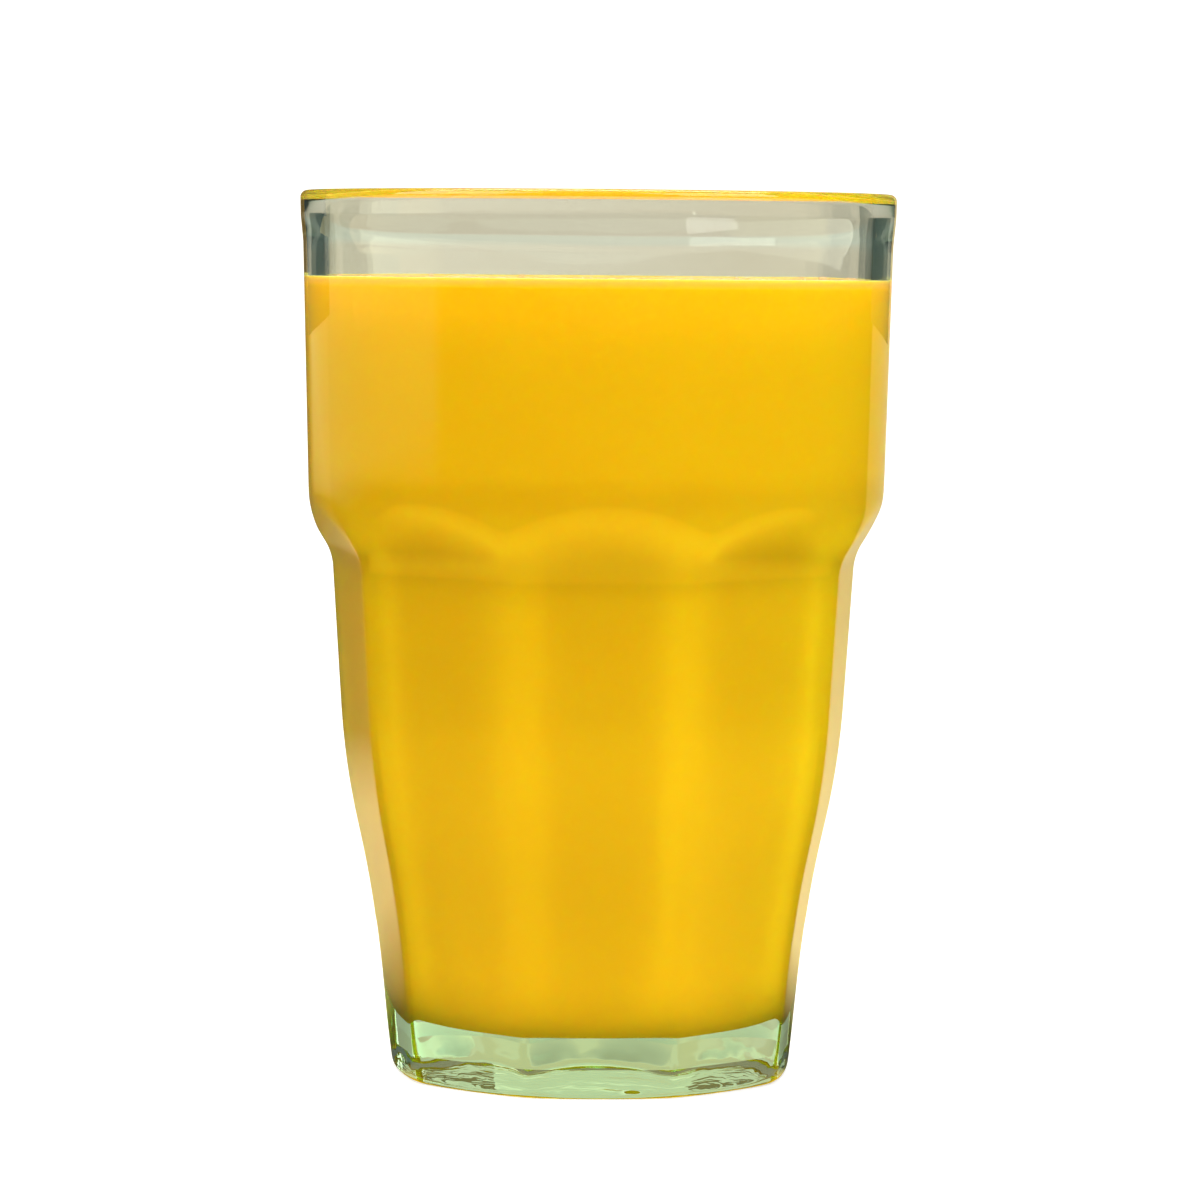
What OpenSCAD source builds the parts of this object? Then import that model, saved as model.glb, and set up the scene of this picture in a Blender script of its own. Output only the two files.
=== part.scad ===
// Pressed glass tumbler, round at the top and faceted below, holding orange juice.
// The origin is the middle of the base, +Z is up, and one facet faces -Y.

/* [Tumbler] */
// Height from the table to the top of the rim
height = 120; // [100:1:140]
// Outer diameter of the round band just under the rim
rim_d = 80.6; // [74:0.2:90]
// How far the round band narrows on each side from the rim to the shoulder
band_taper = 1.3; // [0:0.1:2]
// Thickness of the glass at the rim
rim_wall = 2.8; // [1.8:0.1:3.2]
// How far the rounded bead of the rim stands out from the band
lip_bead = 0.25; // [0:0.05:0.5]

/* [Facets] */
// Number of flat facets round the lower body
facet_count = 9; // [8:1:12]
// Height at which the facets start to flare out into the shoulder
shoulder_z = 70.6; // [64:0.2:80]
// Slope of the flare, measured from the vertical
flare_angle = 32.5; // [25:0.5:45]
// How far the middle of a facet lies inside the rim's radius where the flare starts
shoulder_in = 5.75; // [4:0.05:8]
// Height of the belly, where the facets turn in towards the foot
belly_z = 41.4; // [38:0.2:50]
// How far a facet leans in from the shoulder down to the belly
belly_in = 1.8; // [0.5:0.05:3]
// Height of the waist, where the facets straighten above the foot
waist_z = 19.5; // [16:0.5:24]
// How far a facet leans in from the belly down to the waist
waist_in = 4.85; // [3:0.05:6]
// How far a facet leans in from the waist down to the table
foot_in = 0.85; // [0.3:0.05:2]
// How far the round foot, which trims the corners of the facets, lies outside the middle of a facet
foot_out = 0.95; // [0.5:0.05:1.5]
// Slope of the round foot, measured from the vertical
foot_slope = 14; // [8:1:25]
// Radius of the rounded corner between the round foot and the underside
foot_corner = 1.5; // [0.8:0.1:3]

/* [Inside] */
// Thickness of the glass under the juice
floor_z = 7.5; // [6:0.5:14]
// Radius of the rounded corner of the inside floor
floor_corner = 10; // [5:0.5:12]
// Thickness of the glass in the round band, at the shoulder
band_wall = 3; // [2:0.1:3.6]
// Thickness of the glass at the middle of a facet
facet_wall = 3; // [2.4:0.1:4]
// Depth of the shallow hollow pressed into the underside
push_up = 0.5; // [0.3:0.1:2]
// Radius of that hollow, inside the ring that the glass stands on
push_up_r = 20; // [14:0.5:22]

/* [Juice] */
// Distance from the rim down to the surface of the juice
fill_drop = 11.5; // [8:0.1:30]

/* [Hidden] */
$fn = 180;
facet_step = 360 / facet_count;
rim_r = rim_d / 2;
fill_z = height - fill_drop;
// Distances from the axis to the middle of a facet, from the shoulder down to the table
shoulder_flat = rim_r - shoulder_in;
belly_flat = shoulder_flat - belly_in;
waist_flat = belly_flat - waist_in;
foot_flat = waist_flat - foot_in;
foot_r = foot_flat + foot_out;
// A short way past a face, so that a cut leaves no skin
past = 1;
// Steps in one rounded corner of a profile
arc_steps = 7;
// Blend radii along a facet, from the shoulder down
shoulder_blend = 7.5;
belly_blend = 108;
waist_blend = 150;
// Blend radius of the inside at the shoulder
inside_blend = 9;
// Height of the rounded bead, and how softly it grows out of the band
lip_h = 3.4;
lip_blend = 6;
// Roundings of the rim, the larger one on the inside; together they take nearly the whole wall
lip_round_out = 0.34 * rim_wall;
lip_round_in = 0.64 * rim_wall;
// Where a facet's flare has left the round band behind
flare_top_flat = rim_r + lip_bead + past;
flare_top_z = shoulder_z + (flare_top_flat - shoulder_flat) / tan(flare_angle);

// One profile corner [radius, height, rounding] as the points of an arc that touches both of its sides
function unit(v) = v / norm(v);
function corner_arc(before, at, after, rounding) =
    let (
        a = unit(before - at),
        b = unit(after - at),
        half = acos(a * b) / 2,
        reach = rounding / tan(half),
        centre = at + unit(a + b) * rounding / sin(half),
        from = at + a * reach - centre,
        to = at + b * reach - centre,
        turn = acos(unit(from) * unit(to)),
        side = cross(from, to) > 0 ? 1 : -1
    )
    [for (i = [0:arc_steps]) let (t = side * turn * i / arc_steps)
        centre + [from.x * cos(t) - from.y * sin(t), from.x * sin(t) + from.y * cos(t)]];

// A closed profile whose corners are rounded by the third number of each point
function rounded(corners) =
    let (n = len(corners))
    [for (i = [0:n - 1])
        let (
            c = corners[i],
            before = corners[(i + n - 1) % n],
            after = corners[(i + 1) % n],
            at = [c.x, c.y]
        )
        each c[2] == 0 ? [at] : corner_arc([before.x, before.y], at, [after.x, after.y], c[2])];

// Outer radius of the round band at a height
function band_r(z) = rim_r - band_taper * (height - z) / (height - shoulder_z);

// Inner radius of the round band at a height, as its wall thins towards the rim
function inner_band_r(z) =
    let (depth = (height - z) / (height - flare_top_z))
    band_r(z) - rim_wall - (band_wall - rim_wall) * depth;

// Round blank: the turned foot, a cone out past the facets, and the band with its rounded rim
module blank() {
    rotate_extrude() polygon(rounded([
        [0, 0, 0],
        [foot_r, 0, foot_corner],
        [band_r(0), (band_r(0) - foot_r) / tan(foot_slope), 0],
        [band_r(height - 2 * lip_h), height - 2 * lip_h, 0],
        [band_r(height - lip_h) + lip_bead, height - lip_h, lip_blend],
        [rim_r + lip_bead, height, lip_round_out],
        [rim_r + lip_bead - rim_wall, height, lip_round_in],
        [inner_band_r(height - lip_h), height - lip_h, 0],
        [0, height - lip_h, 0],
    ]));
}

// Body of flat facets, with one facet facing -Y
module facets() {
    corner_scale = 1 / cos(facet_step / 2);
    rotate([0, 0, facet_step / 2 - 90]) rotate_extrude($fn = facet_count)
        scale([corner_scale, 1]) polygon(rounded([
            [0, -past, 0],
            [foot_flat, -past, 0],
            [foot_flat, 0, 0],
            [waist_flat, waist_z, waist_blend],
            [belly_flat, belly_z, belly_blend],
            [shoulder_flat, shoulder_z, shoulder_blend],
            [flare_top_flat, flare_top_z, 0],
            [flare_top_flat, height + past, 0],
            [0, height + past, 0],
        ]));
}

// Space inside the glass from the floor up to a given height
module cavity(top_z) {
    floor_flat = foot_flat + (waist_flat - foot_flat) * floor_z / waist_z;
    rotate_extrude() polygon(rounded([
        [0, floor_z, 0],
        [floor_flat - facet_wall, floor_z, floor_corner],
        [belly_flat - facet_wall, belly_z, belly_blend],
        [shoulder_flat - facet_wall, shoulder_z, inside_blend],
        [inner_band_r(flare_top_z), flare_top_z, inside_blend],
        [inner_band_r(top_z), top_z, 0],
        [0, top_z, 0],
    ]));
}

// Shallow hollow in the underside, a cap of a large sphere
module underside_hollow() {
    dish_r = (push_up_r * push_up_r + push_up * push_up) / (2 * push_up);
    translate([0, 0, push_up - dish_r]) sphere(dish_r);
}

module glass() {
    color("#cfe0d2", 0.4) difference() {
        intersection() {
            blank();
            facets();
        }
        cavity(height + past);
        underside_hollow();
    }
}

module juice() {
    color("#f6b80f") cavity(fill_z);
}

glass();
juice();
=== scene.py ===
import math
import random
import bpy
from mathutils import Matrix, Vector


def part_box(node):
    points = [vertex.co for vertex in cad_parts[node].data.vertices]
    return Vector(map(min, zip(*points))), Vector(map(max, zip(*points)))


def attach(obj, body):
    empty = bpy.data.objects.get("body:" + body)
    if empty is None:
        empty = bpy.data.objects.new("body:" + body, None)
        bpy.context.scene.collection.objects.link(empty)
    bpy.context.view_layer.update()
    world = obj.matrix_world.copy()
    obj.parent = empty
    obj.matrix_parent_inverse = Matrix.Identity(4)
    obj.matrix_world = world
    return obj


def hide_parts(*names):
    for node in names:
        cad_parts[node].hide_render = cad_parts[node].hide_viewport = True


bl_info = {
    "name": "Glass of Orange Juice",
    "version": (1, 0, 0),
    "blender": (4, 5, 0),
    "location": "3D View > Sidebar > Juice Glass",
    "description": "Makes a faceted tumbler of orange juice, its bubbles and a plain studio",
    "category": "Object",
}

import bmesh
import bpy
from bpy.props import FloatProperty, FloatVectorProperty, IntProperty, PointerProperty
from bpy.types import Operator, Panel, PropertyGroup
from mathutils import Matrix, Vector, noise

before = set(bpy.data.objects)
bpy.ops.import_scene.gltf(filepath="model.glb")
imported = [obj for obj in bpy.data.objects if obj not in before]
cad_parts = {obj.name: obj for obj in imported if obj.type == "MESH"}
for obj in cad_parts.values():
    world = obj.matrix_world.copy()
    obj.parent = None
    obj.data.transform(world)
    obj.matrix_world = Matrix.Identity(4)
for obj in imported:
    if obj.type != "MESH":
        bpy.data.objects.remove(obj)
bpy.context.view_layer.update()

GLASS_LO, GLASS_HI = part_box("glass")
JUICE_LO, JUICE_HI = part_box("juice")
BODY = "root"
MM = 0.001


# ---------------------------------------------------------------- settings


def length(name, description, default):
    """A size in metres, shown in the scene's length unit."""
    return FloatProperty(
        name=name, description=description, default=default, min=0,
        subtype="DISTANCE", unit="LENGTH",
    )


def angle(name, description, degrees):
    """An angle, given in degrees."""
    return FloatProperty(
        name=name, description=description, default=math.radians(degrees),
        subtype="ANGLE", unit="ROTATION",
    )


def colour(name, description, default):
    """A linear colour that the user can pick."""
    return FloatVectorProperty(
        name=name, description=description, default=default, min=0, max=1,
        subtype="COLOR", size=3,
    )


def amount(name, description, default):
    """A plain number that isn't negative."""
    return FloatProperty(name=name, description=description, default=default, min=0)


def count(name, description, default):
    """A whole number that isn't negative."""
    return IntProperty(name=name, description=description, default=default, min=0)


class TumblerSettings(PropertyGroup):
    """Sizes of the glass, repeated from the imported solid, and the tint of its glass."""

    rim_wall: length("Rim wall", "Thickness of the glass at the rim", 2.8 * MM)
    lip_bead: length("Lip bead", "How far the bead of the rim stands out from the band", 0.25 * MM)
    lip_height: length("Lip height", "Height of the rounded bead of the rim", 3.4 * MM)
    lip_blend: length("Lip blend", "Radius with which the bead grows out of the band", 6 * MM)
    band_taper: length("Band taper", "How far the round band narrows on each side", 1.3 * MM)
    band_wall: length("Band wall", "Thickness of the round band at the shoulder", 3 * MM)
    facet_wall: length("Facet wall", "Thickness of the glass at the middle of a facet", 3 * MM)
    facet_count: IntProperty(
        name="Facets", description="Number of flat facets", default=9, min=6, max=16
    )
    shoulder_height: length("Shoulder height", "Where the facets start to flare out", 70.6 * MM)
    shoulder_in: length(
        "Shoulder in", "How far a facet lies inside the rim's radius at the flare", 5.75 * MM
    )
    belly_height: length("Belly height", "Where the facets turn in towards the foot", 41.4 * MM)
    belly_in: length(
        "Belly in", "How far a facet leans in from the shoulder to the belly", 1.8 * MM
    )
    waist_height: length("Waist height", "Where the facets straighten above the foot", 19.5 * MM)
    waist_in: length("Waist in", "How far a facet leans in from the belly to the waist", 4.85 * MM)
    foot_in: length("Foot in", "How far a facet leans in from the waist to the table", 0.85 * MM)
    foot_out: length(
        "Foot out", "How far the round foot lies outside the middle of a facet", 0.95 * MM
    )
    foot_corner: length(
        "Foot corner", "Rounding between the round foot and the underside", 1.5 * MM
    )
    floor_corner: length("Floor corner", "Rounding of the inside floor", 10 * MM)
    push_up: length("Push-up", "Depth of the hollow in the underside", 0.5 * MM)
    push_up_radius: length("Push-up radius", "Radius of the hollow in the underside", 20 * MM)
    edge_softness: length("Edge softness", "How softly two facets meet", 0.3 * MM)
    crest_softness: length("Crest softness", "How softly a facet meets the round band", 0.45 * MM)
    foot_softness: length("Foot softness", "How softly a facet meets the round foot", 1.0 * MM)
    flare_angle: angle("Flare", "Slope of the flare, from the vertical", 32.5)
    foot_slope: angle("Foot slope", "Slope of the round foot, from the vertical", 14)
    green: colour("Body tint", "Colour that thick glass takes on", (0.25, 0.97, 0.42))
    green_density: amount("Tint depth", "How fast the glass tints light", 12)


class JuiceSettings(PropertyGroup):
    """The drink in the glass."""

    bite: length("Bite", "How far the drink reaches into the wall, to show no air", 0.08 * MM)
    meniscus_rise: length("Meniscus rise", "How far the drink climbs the wall", 0.5 * MM)
    meniscus_reach: length("Meniscus reach", "How far the climb reaches in from the wall", 0.9 * MM)
    yellow: colour("Juice", "Colour of the cloudy juice", (0.99, 0.56, 0.004))
    amber: colour("Deep juice", "Colour where the juice is denser", (0.97, 0.50, 0.002))
    pale: colour("Pulp", "Colour of the fine pulp in the juice", (0.98, 0.62, 0.02))
    # Painted shade: the open surface of the juice is toned darker and redder than the body.
    top_shade_tone: colour("Open surface", "Tone of the open surface of the juice", (0.88, 0.68, 0.9))
    # Painted shade: the juice is toned darker towards the floor of the glass.
    low_shade_tone: colour(
        "Shaded low juice", "Tone of the juice near the floor of the glass", (0.94, 0.985, 1.0)
    )
    # Painted shade: a darker colour laid on the thin top edge of the juice along the glass.
    top_edge_shade: colour(
        "Top line", "Colour of the thin edge of the juice along the glass", (0.82, 0.42, 0.07)
    )
    scatter_depth: length("Scatter depth", "How far light travels in the juice", 5 * MM)


class BubbleSettings(PropertyGroup):
    """Small bubbles and pulp that lie on the drink."""

    bubble_count: count("Bubbles", "Bubbles along the wall", 26)
    bubble_radius: length("Bubble radius", "Radius of the largest bubble", 0.55 * MM)
    pulp_count: count("Pulp flecks", "Flecks of pulp on the surface", 60)
    pulp_length: length("Pulp length", "Length of a fleck of pulp", 1.6 * MM)


class StudioSettings(PropertyGroup):
    """Floor, lights and camera."""

    camera_distance: length("Camera distance", "From the axis of the glass to the camera", 0.70)
    camera_height: length("Camera height", "Height of the lens over the table", 0.1114)
    aim_height: length("Aim height", "Height that the camera looks at", 0.0645)
    aim_side: FloatProperty(
        name="Aim side", description="How far right of the axis the camera looks",
        default=0.65 * MM, subtype="DISTANCE", unit="LENGTH",
    )
    camera_turn: angle(
        "Camera turn", "How far the camera stands to the left of the front facet", 2.5
    )
    camera_roll: angle("Camera roll", "Lean of the camera", 0.5)
    lens: amount("Lens", "Focal length in millimetres", 154)
    seen_white: colour(
        "Seen floor", "Floor and backdrop as the camera sees them", (0.90, 0.90, 0.89)
    )
    seen_lift: amount("Floor lift", "Own light of the floor to the camera", 0.45)
    glow: amount("Glow", "Strength of the glows seen through the glass", 1.5)
    # Painted shadow of the glass: the glow seen through the glass is dimmed close to its foot.
    glow_in_foot_shadow: amount("Glow at the foot", "Share of that glow close to the glass", 0.34)
    see_through: colour("See-through", "Glow of the table behind", (0.425, 0.39, 0.315))
    see_under: colour("See-under", "Glow of the table close to the foot", (0.425, 0.475, 0.435))
    see_far: colour("See-far", "Glow of the backdrop", (0.385, 0.34, 0.26))
    see_high: colour(
        "See-high", "Glow of the backdrop where the foot shows it", (0.40, 0.41, 0.34)
    )
    see_top: colour(
        "See-top", "Glow of the top of the backdrop, which lights the juice from behind",
        (1.0, 0.9, 0.72),
    )
    front_left: colour("Front left", "Glow of the table in front, on the left", (0.93, 0.62, 0.38))
    front_right: colour("Front right", "The same on the right", (1.0, 0.88, 0.68))
    juice_glow: colour(
        "Juice glow", "Light that the juice throws on the table at its foot", (1.0, 0.62, 0.02)
    )
    juice_throw: amount("Juice throw", "Strength of the light that the juice throws", 3.4)
    warm_grey: colour(
        "Room", "Floor and backdrop as the glass mirrors them", (0.72, 0.59, 0.31)
    )
    brown: colour(
        "Far room", "Far floor and backdrop as the glass mirrors them", (0.24, 0.17, 0.06)
    )
    dark_table: colour(
        "Table", "Floor in front of the glass as it mirrors it", (0.05, 0.04, 0.02)
    )
    window: colour(
        "Window", "Light of the window on the left, in the glass's mirror", (1.0, 0.90, 0.42)
    )
    window_strength: amount("Window strength", "Strength of that light on the floor", 0.65)


# ---------------------------------------------------------------- profiles


def rounded(corners, steps=12):
    """A path through (radius, height, rounding) corners, with an arc where there is a rounding."""
    path = []
    for i, (r, z, rounding) in enumerate(corners):
        at = Vector((r, z))
        if rounding == 0 or i in (0, len(corners) - 1):
            path.append(at)
            continue
        to_before = (Vector(corners[i - 1][:2]) - at).normalized()
        to_after = (Vector(corners[i + 1][:2]) - at).normalized()
        half = to_before.angle(to_after) / 2
        centre = at + (to_before + to_after).normalized() * rounding / math.sin(half)
        start = at + to_before * rounding / math.tan(half) - centre
        end = at + to_after * rounding / math.tan(half) - centre
        turn = start.angle(end) * (1 if start.x * end.y - start.y * end.x > 0 else -1)
        for k in range(steps + 1):
            path.append(centre + Matrix.Rotation(turn * k / steps, 2) @ start)
    return path


def refined(path, longest):
    """The same path with no stretch longer than this."""
    fine = [path[0]]
    for a, b in zip(path, path[1:]):
        pieces = max(1, math.ceil((b - a).length / longest))
        fine += [a.lerp(b, k / pieces) for k in range(1, pieces + 1)]
    return fine


def radius_at(path, z):
    """Radius of a path, whose heights only rise, at a height."""
    for a, b in zip(path, path[1:]):
        if a.y <= z <= b.y and b.y > a.y:
            return a.x + (b.x - a.x) * (z - a.y) / (b.y - a.y)
    return path[-1].x if z > path[-1].y else path[0].x


class Tumbler:
    """Every line of the glass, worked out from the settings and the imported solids."""

    shoulder_blend = 7.5 * MM
    belly_blend = 108 * MM
    waist_blend = 150 * MM
    inside_blend = 9 * MM
    # Roundings of the rim outside and inside, as shares of its wall
    lip_round_out = 0.34
    lip_round_in = 0.64
    # How far outside the bead the flare's line is drawn
    past = 1 * MM

    def __init__(self, s):
        self.s = s
        self.height = GLASS_HI.z
        self.rim_r = (GLASS_HI.x - GLASS_LO.x) / 2 - s.lip_bead
        self.floor_z = JUICE_LO.z
        self.fill_z = JUICE_HI.z
        self.shoulder_flat = self.rim_r - s.shoulder_in
        self.belly_flat = self.shoulder_flat - s.belly_in
        self.waist_flat = self.belly_flat - s.waist_in
        self.foot_flat = self.waist_flat - s.foot_in
        self.flare_top_flat = self.rim_r + s.lip_bead + self.past
        flare_run = self.flare_top_flat - self.shoulder_flat
        self.flare_top_z = s.shoulder_height + flare_run / math.tan(s.flare_angle)
        self.facet_line = rounded([
            (self.foot_flat, 0, 0),
            (self.waist_flat, s.waist_height, self.waist_blend),
            (self.belly_flat, s.belly_height, self.belly_blend),
            (self.shoulder_flat, s.shoulder_height, self.shoulder_blend),
            (self.flare_top_flat, self.flare_top_z, 0),
        ])
        foot_r = self.foot_flat + s.foot_out
        self.foot_line = rounded([
            (0, 0, 0),
            (foot_r, 0, s.foot_corner),
            (self.rim_r, (self.rim_r - foot_r) / math.tan(s.foot_slope), 0),
        ])[1:]

    def band_r(self, z):
        """Outer radius of the round band."""
        depth = (self.height - z) / (self.height - self.s.shoulder_height)
        return self.rim_r - self.s.band_taper * depth

    def inner_band_r(self, z):
        """Inner radius of the round band."""
        depth = (self.height - z) / (self.height - self.flare_top_z)
        return self.band_r(z) - self.s.rim_wall - (self.s.band_wall - self.s.rim_wall) * depth

    def facet_reach(self, flat, angle):
        """Distance from the axis to the softened polygon with this flat, in a direction."""
        step = math.tau / self.s.facet_count
        off = (angle + step / 2) % step - step / 2
        soft = self.s.edge_softness
        reaches = [flat / math.cos(off + k * step) for k in (-1, 0, 1)]
        nearest = min(reaches)
        return nearest - soft * math.log(sum(math.exp((nearest - r) / soft) for r in reaches))

    def outer_r(self, angle, z):
        """Distance from the axis to the outside: the facets, cut by the round band and foot."""
        facet = self.facet_reach(radius_at(self.facet_line, z), angle)
        if z < self.s.waist_height:
            turned, soft = radius_at(self.foot_line, z), self.s.foot_softness
        else:
            turned, soft = self.band_r(z), self.s.crest_softness
        return min(facet, turned) - soft * math.log(1 + math.exp(-abs(facet - turned) / soft))

    def lip_path(self):
        """Outer band, bead, rim and inner band as (radius, height), upwards outside and over."""
        s = self.s
        bead_z = self.height - s.lip_height
        start_z = self.height - 2 * s.lip_height
        bead_r = self.rim_r + s.lip_bead
        return rounded([
            (self.band_r(start_z), start_z, 0),
            (self.band_r(bead_z) + s.lip_bead, bead_z, s.lip_blend),
            (bead_r, self.height, self.lip_round_out * s.rim_wall),
            (bead_r - s.rim_wall, self.height, self.lip_round_in * s.rim_wall),
            (self.inner_band_r(bead_z), bead_z, 0),
        ])

    def cavity_path(self, top_z):
        """Inside of the glass from the middle of its floor up to a height."""
        s = self.s
        floor_flat = self.foot_flat + s.foot_in * self.floor_z / s.waist_height
        return rounded([
            (0, self.floor_z, 0),
            (floor_flat - s.facet_wall, self.floor_z, s.floor_corner),
            (self.belly_flat - s.facet_wall, s.belly_height, self.belly_blend),
            (self.shoulder_flat - s.facet_wall, s.shoulder_height, self.inside_blend),
            (self.inner_band_r(self.flare_top_z), self.flare_top_z, self.inside_blend),
            (self.inner_band_r(top_z), top_z, 0),
        ])


# ---------------------------------------------------------------- mesh helpers


def ring_mesh(name, rings, bottom, top):
    """A mesh from rings of equal length, closed by fans to the bottom and top points."""
    bm = bmesh.new()
    rows = [[bm.verts.new(p) for p in ring] for ring in rings]
    count = len(rows[0])
    for low, high in zip(rows, rows[1:]):
        for i in range(count):
            j = (i + 1) % count
            bm.faces.new((low[i], low[j], high[j], high[i]))
    for point, row, flip in ((bottom, rows[0], True), (top, rows[-1], False)):
        tip = bm.verts.new(point)
        for i in range(count):
            j = (i + 1) % count
            bm.faces.new((row[j], row[i], tip) if flip else (row[i], row[j], tip))
    bmesh.ops.recalc_face_normals(bm, faces=bm.faces)
    mesh = bpy.data.meshes.new(name)
    bm.to_mesh(mesh)
    bm.free()
    for face in mesh.polygons:
        face.use_smooth = True
    return mesh


def add_object(name, mesh, *materials):
    """An object for the mesh, with its materials in order."""
    made = bpy.data.objects.new(name, mesh)
    bpy.context.scene.collection.objects.link(made)
    for material in materials:
        mesh.materials.append(material)
    return made


def around(count):
    """Angles round the glass, measured from the front towards +X."""
    return [math.tau * i / count for i in range(count)]


def at_angle(radius, angle, z):
    """A point at a distance from the axis; angle 0 is the front, -Y."""
    return Vector((radius * math.sin(angle), -radius * math.cos(angle), z))


# ---------------------------------------------------------------- material helpers


def new_material(name):
    """A node material, and its tree, shader and output."""
    material = bpy.data.materials.new(name)
    material.use_nodes = True
    tree = material.node_tree
    tree.nodes.clear()
    output = tree.nodes.new("ShaderNodeOutputMaterial")
    shader = tree.nodes.new("ShaderNodeBsdfPrincipled")
    tree.links.new(shader.outputs["BSDF"], output.inputs["Surface"])
    return material, tree, shader, output


def add_noise(tree, scale, detail=3.0, roughness=0.5):
    """Noise over the object's own coordinates, in metres."""
    place = tree.nodes.new("ShaderNodeTexCoord")
    texture = tree.nodes.new("ShaderNodeTexNoise")
    texture.inputs["Scale"].default_value = scale
    texture.inputs["Detail"].default_value = detail
    texture.inputs["Roughness"].default_value = roughness
    tree.links.new(place.outputs["Object"], texture.inputs["Vector"])
    return texture


def add_range(tree, source, low, high):
    """Maps a value from 0..1 to low..high."""
    mapped = tree.nodes.new("ShaderNodeMapRange")
    mapped.inputs["To Min"].default_value = low
    mapped.inputs["To Max"].default_value = high
    tree.links.new(source, mapped.inputs["Value"])
    return mapped.outputs["Result"]


def add_mix(tree, factor, a, b):
    """Blends two colours by a factor socket; each is a colour or a socket."""
    blend = tree.nodes.new("ShaderNodeMix")
    blend.data_type = "RGBA"
    tree.links.new(factor, blend.inputs["Factor"])
    for socket, value in ((blend.inputs["A"], a), (blend.inputs["B"], b)):
        if isinstance(value, bpy.types.NodeSocket):
            tree.links.new(value, socket)
        else:
            socket.default_value = (*value, 1)
    return blend.outputs["Result"]


def add_tone(tree, source, tone):
    """Multiplies a colour by a tone."""
    blend = tree.nodes.new("ShaderNodeMix")
    blend.data_type = "RGBA"
    blend.blend_type = "MULTIPLY"
    blend.inputs["Factor"].default_value = 1
    tree.links.new(source, blend.inputs["A"])
    blend.inputs["B"].default_value = (*tone, 1)
    return blend.outputs["Result"]


def add_math(tree, operation, *values):
    """One step of arithmetic on sockets or numbers."""
    step = tree.nodes.new("ShaderNodeMath")
    step.operation = operation
    for socket, value in zip(step.inputs, values):
        if isinstance(value, bpy.types.NodeSocket):
            tree.links.new(value, socket)
        else:
            socket.default_value = value
    return step.outputs["Value"]


def add_ramp(tree, source, start, end):
    """Rises from 0 to 1 while a value goes from start to end."""
    ramp = tree.nodes.new("ShaderNodeMapRange")
    ramp.inputs["From Min"].default_value = start
    ramp.inputs["From Max"].default_value = end
    tree.links.new(source, ramp.inputs["Value"])
    return ramp.outputs["Result"]


def add_axes(tree, coordinates):
    """The three parts of a texture coordinate, by name."""
    place = tree.nodes.new("ShaderNodeTexCoord")
    split = tree.nodes.new("ShaderNodeSeparateXYZ")
    tree.links.new(place.outputs[coordinates], split.inputs["Vector"])
    return split.outputs


def add_product(tree, *values):
    """The product of sockets or numbers."""
    product = values[0]
    for value in values[1:]:
        product = add_math(tree, "MULTIPLY", product, value)
    return product


def add_bump(tree, shader, height, strength, distance):
    """Relief on the surface from a height socket."""
    bump = tree.nodes.new("ShaderNodeBump")
    bump.inputs["Strength"].default_value = strength
    bump.inputs["Distance"].default_value = distance
    tree.links.new(height, bump.inputs["Height"])
    tree.links.new(bump.outputs["Normal"], shader.inputs["Normal"])


# ---------------------------------------------------------------- materials


def glass_material(s):
    """Clear pressed glass, tinted green, with the faint ripple of a mould, stronger underneath."""
    material, tree, shader, output = new_material("pressed glass")
    shader.inputs["Base Color"].default_value = (0.985, 0.99, 0.985, 1)
    shader.inputs["Transmission Weight"].default_value = 1
    shader.inputs["IOR"].default_value = 1.5
    handling = add_noise(tree, 60, 2)
    tree.links.new(add_range(tree, handling.outputs["Fac"], 0.0, 0.03), shader.inputs["Roughness"])
    ripple = add_noise(tree, 45, 1)
    wave = add_noise(tree, 170, 2)
    wave_share = 3.2
    low = add_ramp(tree, add_axes(tree, "Object")["Z"], 4 * MM, 0.5 * MM)
    low_wave = add_product(tree, wave.outputs["Fac"], low)
    height = add_math(tree, "MULTIPLY_ADD", low_wave, wave_share, ripple.outputs["Fac"])
    add_bump(tree, shader, height, 0.25, 0.4 * MM)
    tint = tree.nodes.new("ShaderNodeVolumeAbsorption")
    tint.inputs["Color"].default_value = (*s.green, 1)
    tint.inputs["Density"].default_value = s.green_density
    tree.links.new(tint.outputs["Volume"], output.inputs["Volume"])
    return material


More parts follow.
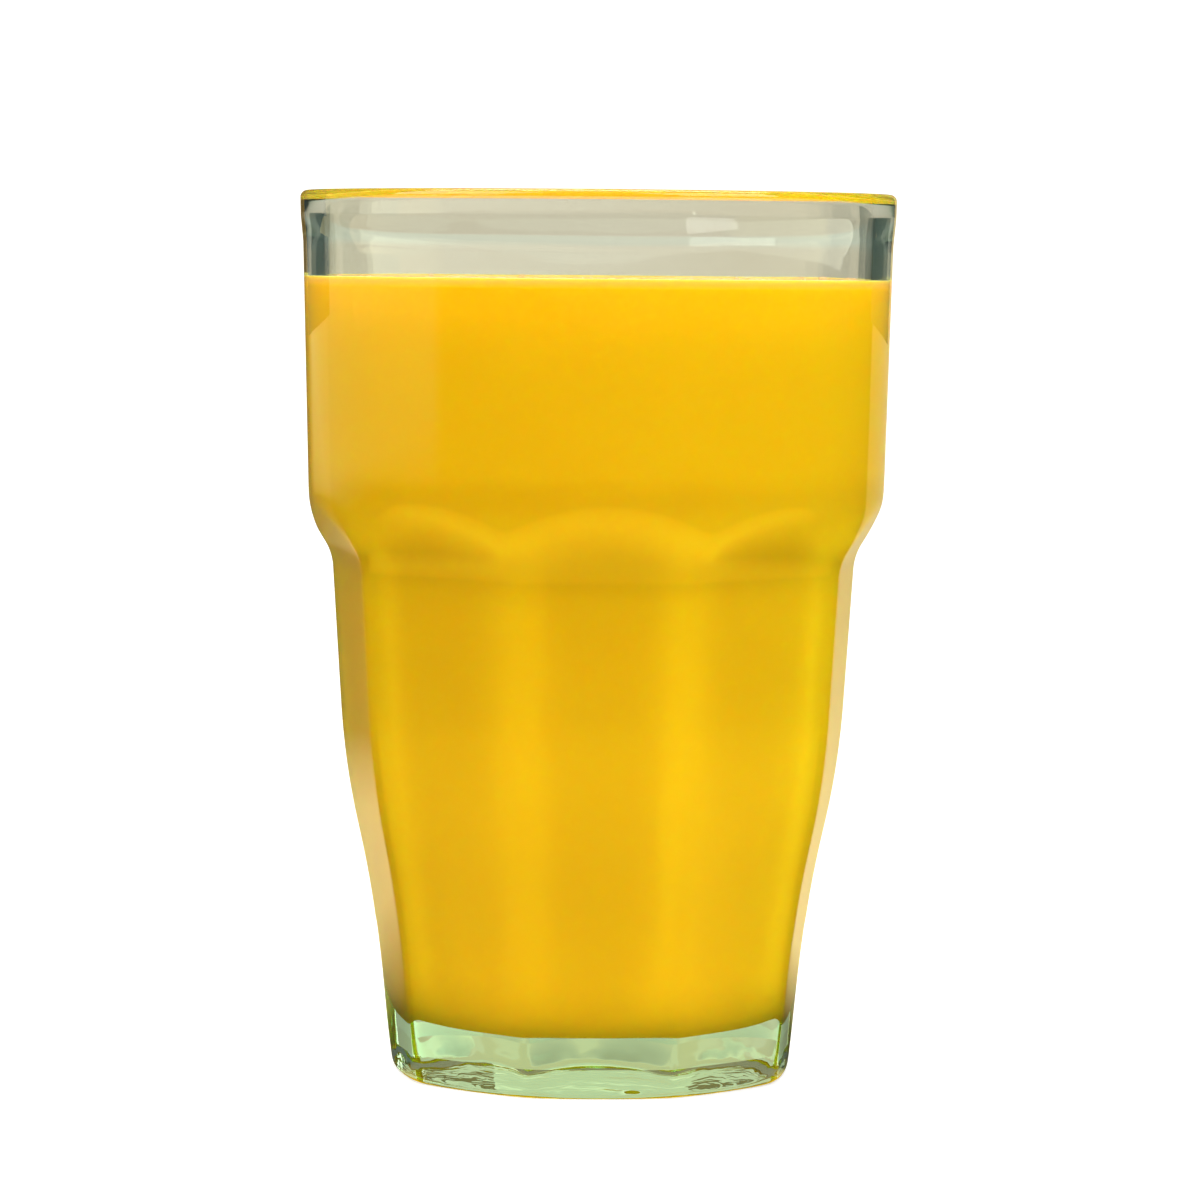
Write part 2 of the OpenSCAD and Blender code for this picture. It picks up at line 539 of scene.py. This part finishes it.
def juice_material(name, s, wet):
    """Cloudy juice, slightly uneven with fine pulp; wet is for its open surface. Painted shade
    darkens the open surface, the thin top edge and the juice near the floor.
    """
    material, tree, shader, _ = new_material(name)
    clouds = add_noise(tree, 55, 2)
    pulp = add_noise(tree, 900, 1, 0.6)
    cloudy = add_mix(tree, add_range(tree, clouds.outputs["Fac"], 0.0, 0.8), s.yellow, s.amber)
    shade = add_mix(tree, add_range(tree, pulp.outputs["Fac"], 0.0, 0.3), cloudy, s.pale)
    if wet:
        # Painted shade: a darker, redder tone over the open surface.
        shade = add_tone(tree, shade, s.top_shade_tone)
    else:
        height = add_axes(tree, "Object")["Z"]
        # Painted shade: darker towards the floor of the glass, from 45 mm down to 12 mm.
        low_shade = add_ramp(tree, height, 45 * MM, 12 * MM)
        # Painted shade along the thin top edge of the juice, 1.3 to 0.5 mm under its level.
        edge = add_ramp(tree, height, JUICE_HI.z - 1.3 * MM, JUICE_HI.z - 0.5 * MM)
        shade = add_mix(tree, low_shade, shade, add_tone(tree, shade, s.low_shade_tone))
        shade = add_mix(tree, edge, shade, s.top_edge_shade)
    tree.links.new(shade, shader.inputs["Base Color"])
    shader.inputs["Subsurface Weight"].default_value = 0.85
    shader.inputs["Subsurface Radius"].default_value = (1.0, 0.55, 0.12)
    shader.inputs["Subsurface Scale"].default_value = s.scatter_depth
    shader.inputs["IOR"].default_value = 1.34
    shader.inputs["Specular IOR Level"].default_value = 0.5 if wet else 0.0
    rough = (0.04, 0.12) if wet else (0.5, 0.7)
    tree.links.new(add_range(tree, pulp.outputs["Fac"], *rough), shader.inputs["Roughness"])
    if wet:
        add_bump(tree, shader, pulp.outputs["Fac"], 0.3, 0.05 * MM)
    return material


def bubble_material():
    """Thin clear bubbles with a warm tint from the drink below."""
    material, tree, shader, _ = new_material("bubble film")
    film = add_noise(tree, 400, 2)
    tint = add_mix(tree, film.outputs["Fac"], (0.98, 0.88, 0.55), (1.0, 0.95, 0.75))
    tree.links.new(tint, shader.inputs["Base Color"])
    shader.inputs["Transmission Weight"].default_value = 0.8
    shader.inputs["IOR"].default_value = 1.33
    tree.links.new(add_range(tree, film.outputs["Fac"], 0.02, 0.08), shader.inputs["Roughness"])
    return material


def pulp_material():
    """Wet flecks of orange pulp."""
    material, tree, shader, _ = new_material("orange pulp")
    grain = add_noise(tree, 700, 3)
    shade = add_mix(tree, grain.outputs["Fac"], (0.95, 0.50, 0.03), (1.0, 0.68, 0.12))
    tree.links.new(shade, shader.inputs["Base Color"])
    tree.links.new(add_range(tree, grain.outputs["Fac"], 0.15, 0.4), shader.inputs["Roughness"])
    add_bump(tree, shader, grain.outputs["Fac"], 0.5, 0.05 * MM)
    return material


def add_window(tree, side, depth):
    """Where the window on the left lies, by the two level parts of a direction from the glass."""
    return add_product(
        tree, add_ramp(tree, depth, -0.46, -0.36), add_ramp(tree, side, -0.3, -0.45)
    )


def add_mirrored_room(tree, s, axes):
    """Colour of the floor and the backdrop in the mirror of the glass."""
    aside = add_math(tree, "ABSOLUTE", axes["X"])
    behind = add_ramp(tree, add_math(tree, "MULTIPLY_ADD", aside, -0.9, axes["Y"]), 0, 0.06)
    near_left = add_math(tree, "MULTIPLY_ADD", axes["X"], -2.5, axes["Y"])
    room = add_mix(tree, add_ramp(tree, near_left, 0.75, 0.45), s.brown, s.warm_grey)
    return add_mix(tree, behind, s.dark_table, room)


def add_glow(tree, s, axes, side, out):
    """Colour that the floor and the backdrop glow in where they are seen through the glass."""
    front = add_mix(tree, add_ramp(tree, side, -0.7, 0.5), s.front_left, s.front_right)
    back = add_mix(tree, add_ramp(tree, axes["Y"], 0.3, 0.9), s.see_through, s.see_far)
    back = add_mix(tree, add_ramp(tree, axes["Z"], 0.145, 0.2), back, s.see_high)
    back = add_mix(tree, add_ramp(tree, axes["Z"], 0.35, 0.8), back, s.see_top)
    back = add_mix(tree, add_ramp(tree, out, 0.16, 0.07), back, s.see_under)
    return add_mix(tree, add_ramp(tree, axes["Y"], 0.0, -0.05), back, front)


def stage_material(s):
    """Floor and backdrop: white to the camera, glowing through the glass, dim in its mirror; that
    glow has a painted shadow of the glass round its foot.
    """
    material, tree, shader, _ = new_material("studio sweep")
    axes = add_axes(tree, "Object")
    ray = tree.nodes.new("ShaderNodeLightPath")
    through, seen = ray.outputs["Is Transmission Ray"], ray.outputs["Is Camera Ray"]
    mirrored = add_math(tree, "SUBTRACT", ray.outputs["Is Glossy Ray"], through)
    # Level distance from the axis of the glass, and the direction to the right and behind
    across = add_math(tree, "MULTIPLY", axes["Y"], axes["Y"])
    out = add_math(tree, "SQRT", add_math(tree, "MULTIPLY_ADD", axes["X"], axes["X"], across))
    side = add_math(tree, "DIVIDE", axes["X"], out)
    depth = add_math(tree, "DIVIDE", axes["Y"], out)
    window = add_product(tree, add_window(tree, side, depth), add_ramp(tree, out, 0.8, 1.2))
    room = add_mix(tree, through, add_mirrored_room(tree, s, axes), (0, 0, 0))
    tree.links.new(add_mix(tree, seen, room, s.seen_white), shader.inputs["Base Color"])
    mirror = add_mix(tree, window, s.juice_glow, s.window)
    light = add_mix(tree, mirrored, add_glow(tree, s, axes, side, out), mirror)
    tree.links.new(add_mix(tree, seen, light, s.seen_white), shader.inputs["Emission Color"])
    thrown = add_product(
        tree, mirrored, s.juice_throw,
        add_ramp(tree, axes["Y"], 0.0, -0.03), add_ramp(tree, out, 0.35, 0.09),
    )
    bright = add_product(tree, mirrored, window, s.window_strength)
    lift = add_math(tree, "MULTIPLY_ADD", seen, s.seen_lift, add_math(tree, "ADD", thrown, bright))
    # Painted shadow of the glass on the floor: the glow fades to a share of itself close to the
    # foot.
    near = add_ramp(tree, out, 0.03, 0.18)
    glow = add_range(tree, near, s.glow_in_foot_shadow * s.glow, s.glow)
    strength = add_math(tree, "MULTIPLY_ADD", through, glow, lift)
    tree.links.new(strength, shader.inputs["Emission Strength"])
    material.cycles.emission_sampling = "NONE"
    shader.inputs["Roughness"].default_value = 0.9
    shader.inputs["Specular IOR Level"].default_value = 0.1
    return material


# ---------------------------------------------------------------- operators


class JUICEGLASS_OT_tumbler(Operator):
    """Make the faceted glass"""

    bl_idname = "juiceglass.tumbler"
    bl_label = "Tumbler"

    columns = 9 * 28
    dish_rings = 10
    stand_rings = 4
    # Steps between rings: in the foot and the flare, and elsewhere
    fine_step = 0.3 * MM
    step = 1.3 * MM

    def execute(self, context):
        s = context.scene.juice_tumbler
        t = Tumbler(s)
        angles = around(self.columns)
        rings = self.underside_rings(t, angles) + self.outer_rings(t, angles)
        inside = list(reversed(t.cavity_path(t.height - s.lip_height)))
        for point in refined(t.lip_path(), 1.2 * MM) + refined(inside, 1.5 * MM)[1:-1]:
            rings.append([at_angle(point.x, a, point.y) for a in angles])
        mesh = ring_mesh("glass", rings, Vector((0, 0, s.push_up)), Vector((0, 0, t.floor_z)))
        made = add_object("tumbler_glass", mesh, glass_material(s))
        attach(made, BODY)
        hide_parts("glass")
        return {"FINISHED"}

    def underside_rings(self, t, angles):
        """From the hollow of the underside over the standing ring to the rounded foot."""
        s = t.s
        dish = (s.push_up_radius ** 2 + s.push_up ** 2) / (2 * s.push_up)
        rings = []
        for k in range(1, self.dish_rings + 1):
            r = s.push_up_radius * k / self.dish_rings
            z = s.push_up - dish + math.sqrt(dish ** 2 - r ** 2)
            rings.append([at_angle(r, a, z) for a in angles])
        ring_r = t.foot_line[0].x
        for k in range(1, self.stand_rings):
            r = s.push_up_radius + (ring_r - s.push_up_radius) * k / self.stand_rings
            rings.append([at_angle(r, a, 0) for a in angles])
        return rings

    def outer_rings(self, t, angles):
        """Round foot, facets, flare and round band, up to the bead of the rim."""
        s = t.s
        rings = []
        turned = [p for p in refined(t.foot_line, 0.4 * MM) if p.y < s.foot_corner]
        for point in turned:
            rings.append([at_angle(t.outer_r(a, point.y), a, point.y) for a in angles])
        z = turned[-1].y
        top = t.height - 2 * s.lip_height
        foot_top = 6 * MM
        flare_from, flare_to = s.shoulder_height - 5 * MM, t.flare_top_z + MM
        while True:
            z += self.fine_step if z < foot_top or flare_from < z < flare_to else self.step
            if z > top - 0.5 * MM:
                return rings
            rings.append([at_angle(t.outer_r(a, z), a, z) for a in angles])


class JUICEGLASS_OT_juice(Operator):
    """Fill the glass with juice"""

    bl_idname = "juiceglass.juice"
    bl_label = "Juice"

    columns = 160
    surface_rings = 32
    # How far in from the wall the rings of the open surface go, as a share of its radius
    surface_share = 0.97

    def execute(self, context):
        s = context.scene.juice_drink
        t = Tumbler(context.scene.juice_tumbler)
        angles = around(self.columns)
        wall = refined(t.cavity_path(t.fill_z), 1.5 * MM)
        rings = []
        for before, point, after in zip(wall, wall[1:], wall[2:] + [wall[-1] * 2 - wall[-2]]):
            along = (after - before).normalized()
            grown = point + Vector((along.y, -along.x)) * s.bite
            rings.append([at_angle(grown.x, a, grown.y) for a in angles])
        wall_r = wall[-1].x + s.bite
        body_rings = len(rings)
        for k in range(1, self.surface_rings + 1):
            inward = (k / self.surface_rings) ** 2 * wall_r * self.surface_share
            climb = s.meniscus_rise * (1 - math.exp(-inward / s.meniscus_reach))
            rings.append([at_angle(wall_r - inward, a, t.fill_z - climb) for a in angles])
        bottom = Vector((0, 0, t.floor_z - s.bite))
        mesh = ring_mesh("juice", rings, bottom, Vector((0, 0, t.fill_z - s.meniscus_rise)))
        body = juice_material("juice body", s, False)
        surface = juice_material("juice surface", s, True)
        made = add_object("orange_juice", mesh, body, surface)
        side_faces = (body_rings - 1) * self.columns
        wet_faces = self.surface_rings * self.columns
        for face in mesh.polygons[side_faces:side_faces + wet_faces]:
            face.material_index = 1
        for face in mesh.polygons[-self.columns:]:
            face.material_index = 1
        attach(made, BODY)
        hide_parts("juice")
        return {"FINISHED"}


class JUICEGLASS_OT_surface(Operator):
    """Lay small bubbles and flecks of pulp on the juice"""

    bl_idname = "juiceglass.surface"
    bl_label = "Bubbles and pulp"

    # Seeds both the scatter and the relief of the flecks, so that each run is the same
    seed = 5

    def execute(self, context):
        s = context.scene.juice_bubbles
        drink = context.scene.juice_drink
        t = Tumbler(context.scene.juice_tumbler)
        level = t.fill_z - drink.meniscus_rise
        wall_r = t.inner_band_r(t.fill_z)
        chance = random.Random(self.seed)
        noise.seed_set(self.seed)
        bubbles = bmesh.new()
        for _ in range(s.bubble_count):
            r = s.bubble_radius * chance.uniform(0.35, 1)
            away = wall_r - r * 1.3 - abs(chance.gauss(0, 2.2 * MM))
            place = at_angle(away, chance.gauss(2.4, 1.5), level + r * 0.25)
            bmesh.ops.create_icosphere(
                bubbles, subdivisions=3, radius=r, matrix=Matrix.Translation(place)
            )
        self.piece(bubbles, "surface_bubbles", bubble_material())
        pulp = bmesh.new()
        for _ in range(s.pulp_count):
            away = wall_r * 0.93 * math.sqrt(chance.random())
            place = at_angle(away, chance.uniform(0, math.tau), level)
            long = s.pulp_length * chance.uniform(0.3, 1)
            shape = Matrix.Diagonal((long / 2, long * chance.uniform(0.12, 0.22), 0.12 * MM, 1))
            turn = Matrix.Rotation(chance.uniform(0, math.tau), 4, "Z")
            bmesh.ops.create_icosphere(
                pulp, subdivisions=2, radius=1, matrix=Matrix.Translation(place) @ turn @ shape
            )
        for vert in pulp.verts:
            vert.co += noise.noise_vector(vert.co / (0.5 * MM)) * 0.08 * MM
        self.piece(pulp, "pulp_flecks", pulp_material())
        return {"FINISHED"}

    def piece(self, bm, name, material):
        """One joined mesh that floats on the juice."""
        for face in bm.faces:
            face.smooth = True
        mesh = bpy.data.meshes.new(name)
        bm.to_mesh(mesh)
        bm.free()
        made = add_object(name, mesh, material)
        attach(made, BODY)


class JUICEGLASS_OT_studio(Operator):
    """Set up the floor, the lights and the camera"""

    bl_idname = "juiceglass.studio"
    bl_label = "Studio"

    def execute(self, context):
        s = context.scene.juice_studio
        scene = context.scene
        scene.view_settings.view_transform = "Standard"
        scene.cycles.max_bounces = 10
        scene.cycles.diffuse_bounces = 1
        scene.cycles.glossy_bounces = 8
        scene.cycles.transmission_bounces = 8
        self.sweep(s)
        self.room(scene, s)
        self.lights(scene)
        self.flags()
        self.camera(scene, s)
        return {"FINISHED"}

    def sweep(self, s):
        """A floor that curves up into a backdrop."""
        front, back, wide, bend, tall = -1.6, 1.3, 2.2, 0.5, 1.6
        path = [(front, 0.0), (back - bend, 0.0)]
        path += [
            (back - bend + bend * math.sin(a), bend - bend * math.cos(a))
            for a in (math.pi / 2 * k / 16 for k in range(1, 17))
        ]
        path.append((back, tall))
        bm = bmesh.new()
        rows = [(bm.verts.new((-wide, y, z)), bm.verts.new((wide, y, z))) for y, z in path]
        for (a, b), (c, d) in zip(rows, rows[1:]):
            bm.faces.new((a, b, d, c)).smooth = True
        mesh = bpy.data.meshes.new("studio_sweep")
        bm.to_mesh(mesh)
        bm.free()
        add_object("studio_sweep", mesh, stage_material(s))

    def room(self, scene, s):
        """A dim room, light overhead; what lies inside the glass sees it lit from the right."""
        world = bpy.data.worlds.new("studio room")
        world.use_nodes = True
        tree = world.node_tree
        axes = add_axes(tree, "Generated")
        overhead = add_ramp(tree, axes["Z"], 0.15, 0.8)
        dim = add_mix(tree, overhead, (0.05, 0.05, 0.05), (0.6, 0.59, 0.56))
        dim = add_mix(tree, add_window(tree, axes["X"], axes["Y"]), dim, s.window)
        place = tree.nodes.new("ShaderNodeTexCoord")
        towards = tree.nodes.new("ShaderNodeVectorMath")
        towards.operation = "DOT_PRODUCT"
        towards.inputs[1].default_value = Vector((0.62, -0.42, 0.66)).normalized()
        tree.links.new(place.outputs["Generated"], towards.inputs[0])
        facing = add_ramp(tree, towards.outputs["Value"], -0.4, 0.8)
        lit = add_mix(tree, facing, (0.58, 0.49, 0.34), (1.0, 0.98, 0.84))
        ray = tree.nodes.new("ShaderNodeLightPath")
        through = ray.outputs["Is Transmission Ray"]
        background = tree.nodes["Background"]
        tree.links.new(add_mix(tree, through, dim, lit), background.inputs["Color"])
        strength = add_math(tree, "MULTIPLY_ADD", through, 2.1, 0.8)
        tree.links.new(strength, background.inputs["Strength"])
        world.cycles.sampling_method = "NONE"
        scene.world = world

    def lights(self, scene):
        """Soft boxes over the glass, and one that lights the backdrop."""
        # Name, degrees to the right of the camera, degrees up, distance, size, power
        boxes = (
            ("key right", 50, 45, 0.75, 0.5, 3.0),
            ("fill left", -65, 45, 0.62, 0.45, 2.2),
            ("overhead", 180, 80, 0.7, 0.4, 0.6),
        )
        for name, azimuth, elevation, away, size, power in boxes:
            side, up = math.radians(azimuth), math.radians(elevation)
            level = math.cos(up) * away
            place = at_angle(level, side, math.sin(up) * away)
            self.lamp(scene, name, place, Vector((0, 0, 0.06)), (size, size), power)
        over, behind = Vector((0, 0.5, 1.5)), Vector((0, 0.9, 0.3))
        self.lamp(scene, "backdrop", over, behind, (1.6, 0.6), 16.0)

    def lamp(self, scene, name, place, aim, size, power):
        """One soft box at a place, turned to what it lights."""
        data = bpy.data.lights.new(name, "AREA")
        data.shape = "RECTANGLE"
        data.size, data.size_y = size
        data.energy = power
        data.color = (1.0, 0.99, 0.96)
        made = bpy.data.objects.new(name, data)
        made.location = place
        made.rotation_euler = (aim - place).to_track_quat("-Z", "Y").to_euler()
        scene.collection.objects.link(made)

    def flags(self):
        """Two dark cards behind the glass, hidden, that draw dark lines down its edges."""
        material, tree, shader, _ = new_material("dark card")
        cloth = add_noise(tree, 40)
        tree.links.new(
            add_mix(tree, cloth.outputs["Fac"], (0.045, 0.08, 0.08), (0.06, 0.10, 0.10)),
            shader.inputs["Base Color"],
        )
        low, high = 0.092, 0.40
        for name, side in (("flag_left", -1), ("flag_right", 1)):
            near, far = (side * 0.15, 0.32), (side * 0.30, 0.22)
            corners = ((*near, low), (*far, low), (*far, high), (*near, high))
            bm = bmesh.new()
            bm.faces.new([bm.verts.new(corner) for corner in corners])
            mesh = bpy.data.meshes.new(name)
            bm.to_mesh(mesh)
            bm.free()
            card = add_object(name, mesh, material)
            card.visible_camera = False
            card.visible_diffuse = False
            card.visible_shadow = False

    def camera(self, scene, s):
        """A long lens at the height of the rim."""
        data = bpy.data.cameras.new("camera")
        data.lens = s.lens
        data.sensor_width = 36
        data.clip_start = 0.01
        made = bpy.data.objects.new("camera", data)
        turn = Matrix.Rotation(-s.camera_turn, 4, "Z")
        made.location = turn @ Vector((0, -s.camera_distance, s.camera_height))
        aim = turn @ Vector((s.aim_side, 0, s.aim_height))
        look = (aim - made.location).to_track_quat("-Z", "Y").to_matrix()
        made.rotation_euler = (look @ Matrix.Rotation(s.camera_roll, 3, "Z")).to_euler()
        scene.collection.objects.link(made)
        scene.camera = made


class JUICEGLASS_PT_panel(Panel):
    """Lists what this file makes"""

    bl_label = "Juice Glass"
    bl_idname = "JUICEGLASS_PT_panel"
    bl_space_type = "VIEW_3D"
    bl_region_type = "UI"
    bl_category = "Juice Glass"

    def draw(self, context):
        for operator in OPERATORS:
            self.layout.operator(operator.bl_idname)
        for group in SETTINGS:
            settings = getattr(context.scene, group)
            box = self.layout.box()
            for name in settings.__annotations__:
                box.prop(settings, name)


OPERATORS = (
    JUICEGLASS_OT_tumbler,
    JUICEGLASS_OT_juice,
    JUICEGLASS_OT_surface,
    JUICEGLASS_OT_studio,
)
SETTINGS = {
    "juice_tumbler": TumblerSettings,
    "juice_drink": JuiceSettings,
    "juice_bubbles": BubbleSettings,
    "juice_studio": StudioSettings,
}


def register():
    for cls in (*SETTINGS.values(), *OPERATORS, JUICEGLASS_PT_panel):
        bpy.utils.register_class(cls)
    for name, group in SETTINGS.items():
        setattr(bpy.types.Scene, name, PointerProperty(type=group))


def unregister():
    for name in SETTINGS:
        delattr(bpy.types.Scene, name)
    for cls in reversed((*SETTINGS.values(), *OPERATORS, JUICEGLASS_PT_panel)):
        bpy.utils.unregister_class(cls)


def main():
    """Makes every piece in order."""
    register()
    bpy.ops.juiceglass.tumbler()
    bpy.ops.juiceglass.juice()
    bpy.ops.juiceglass.surface()
    bpy.ops.juiceglass.studio()


if __name__ == "__main__":
    main()
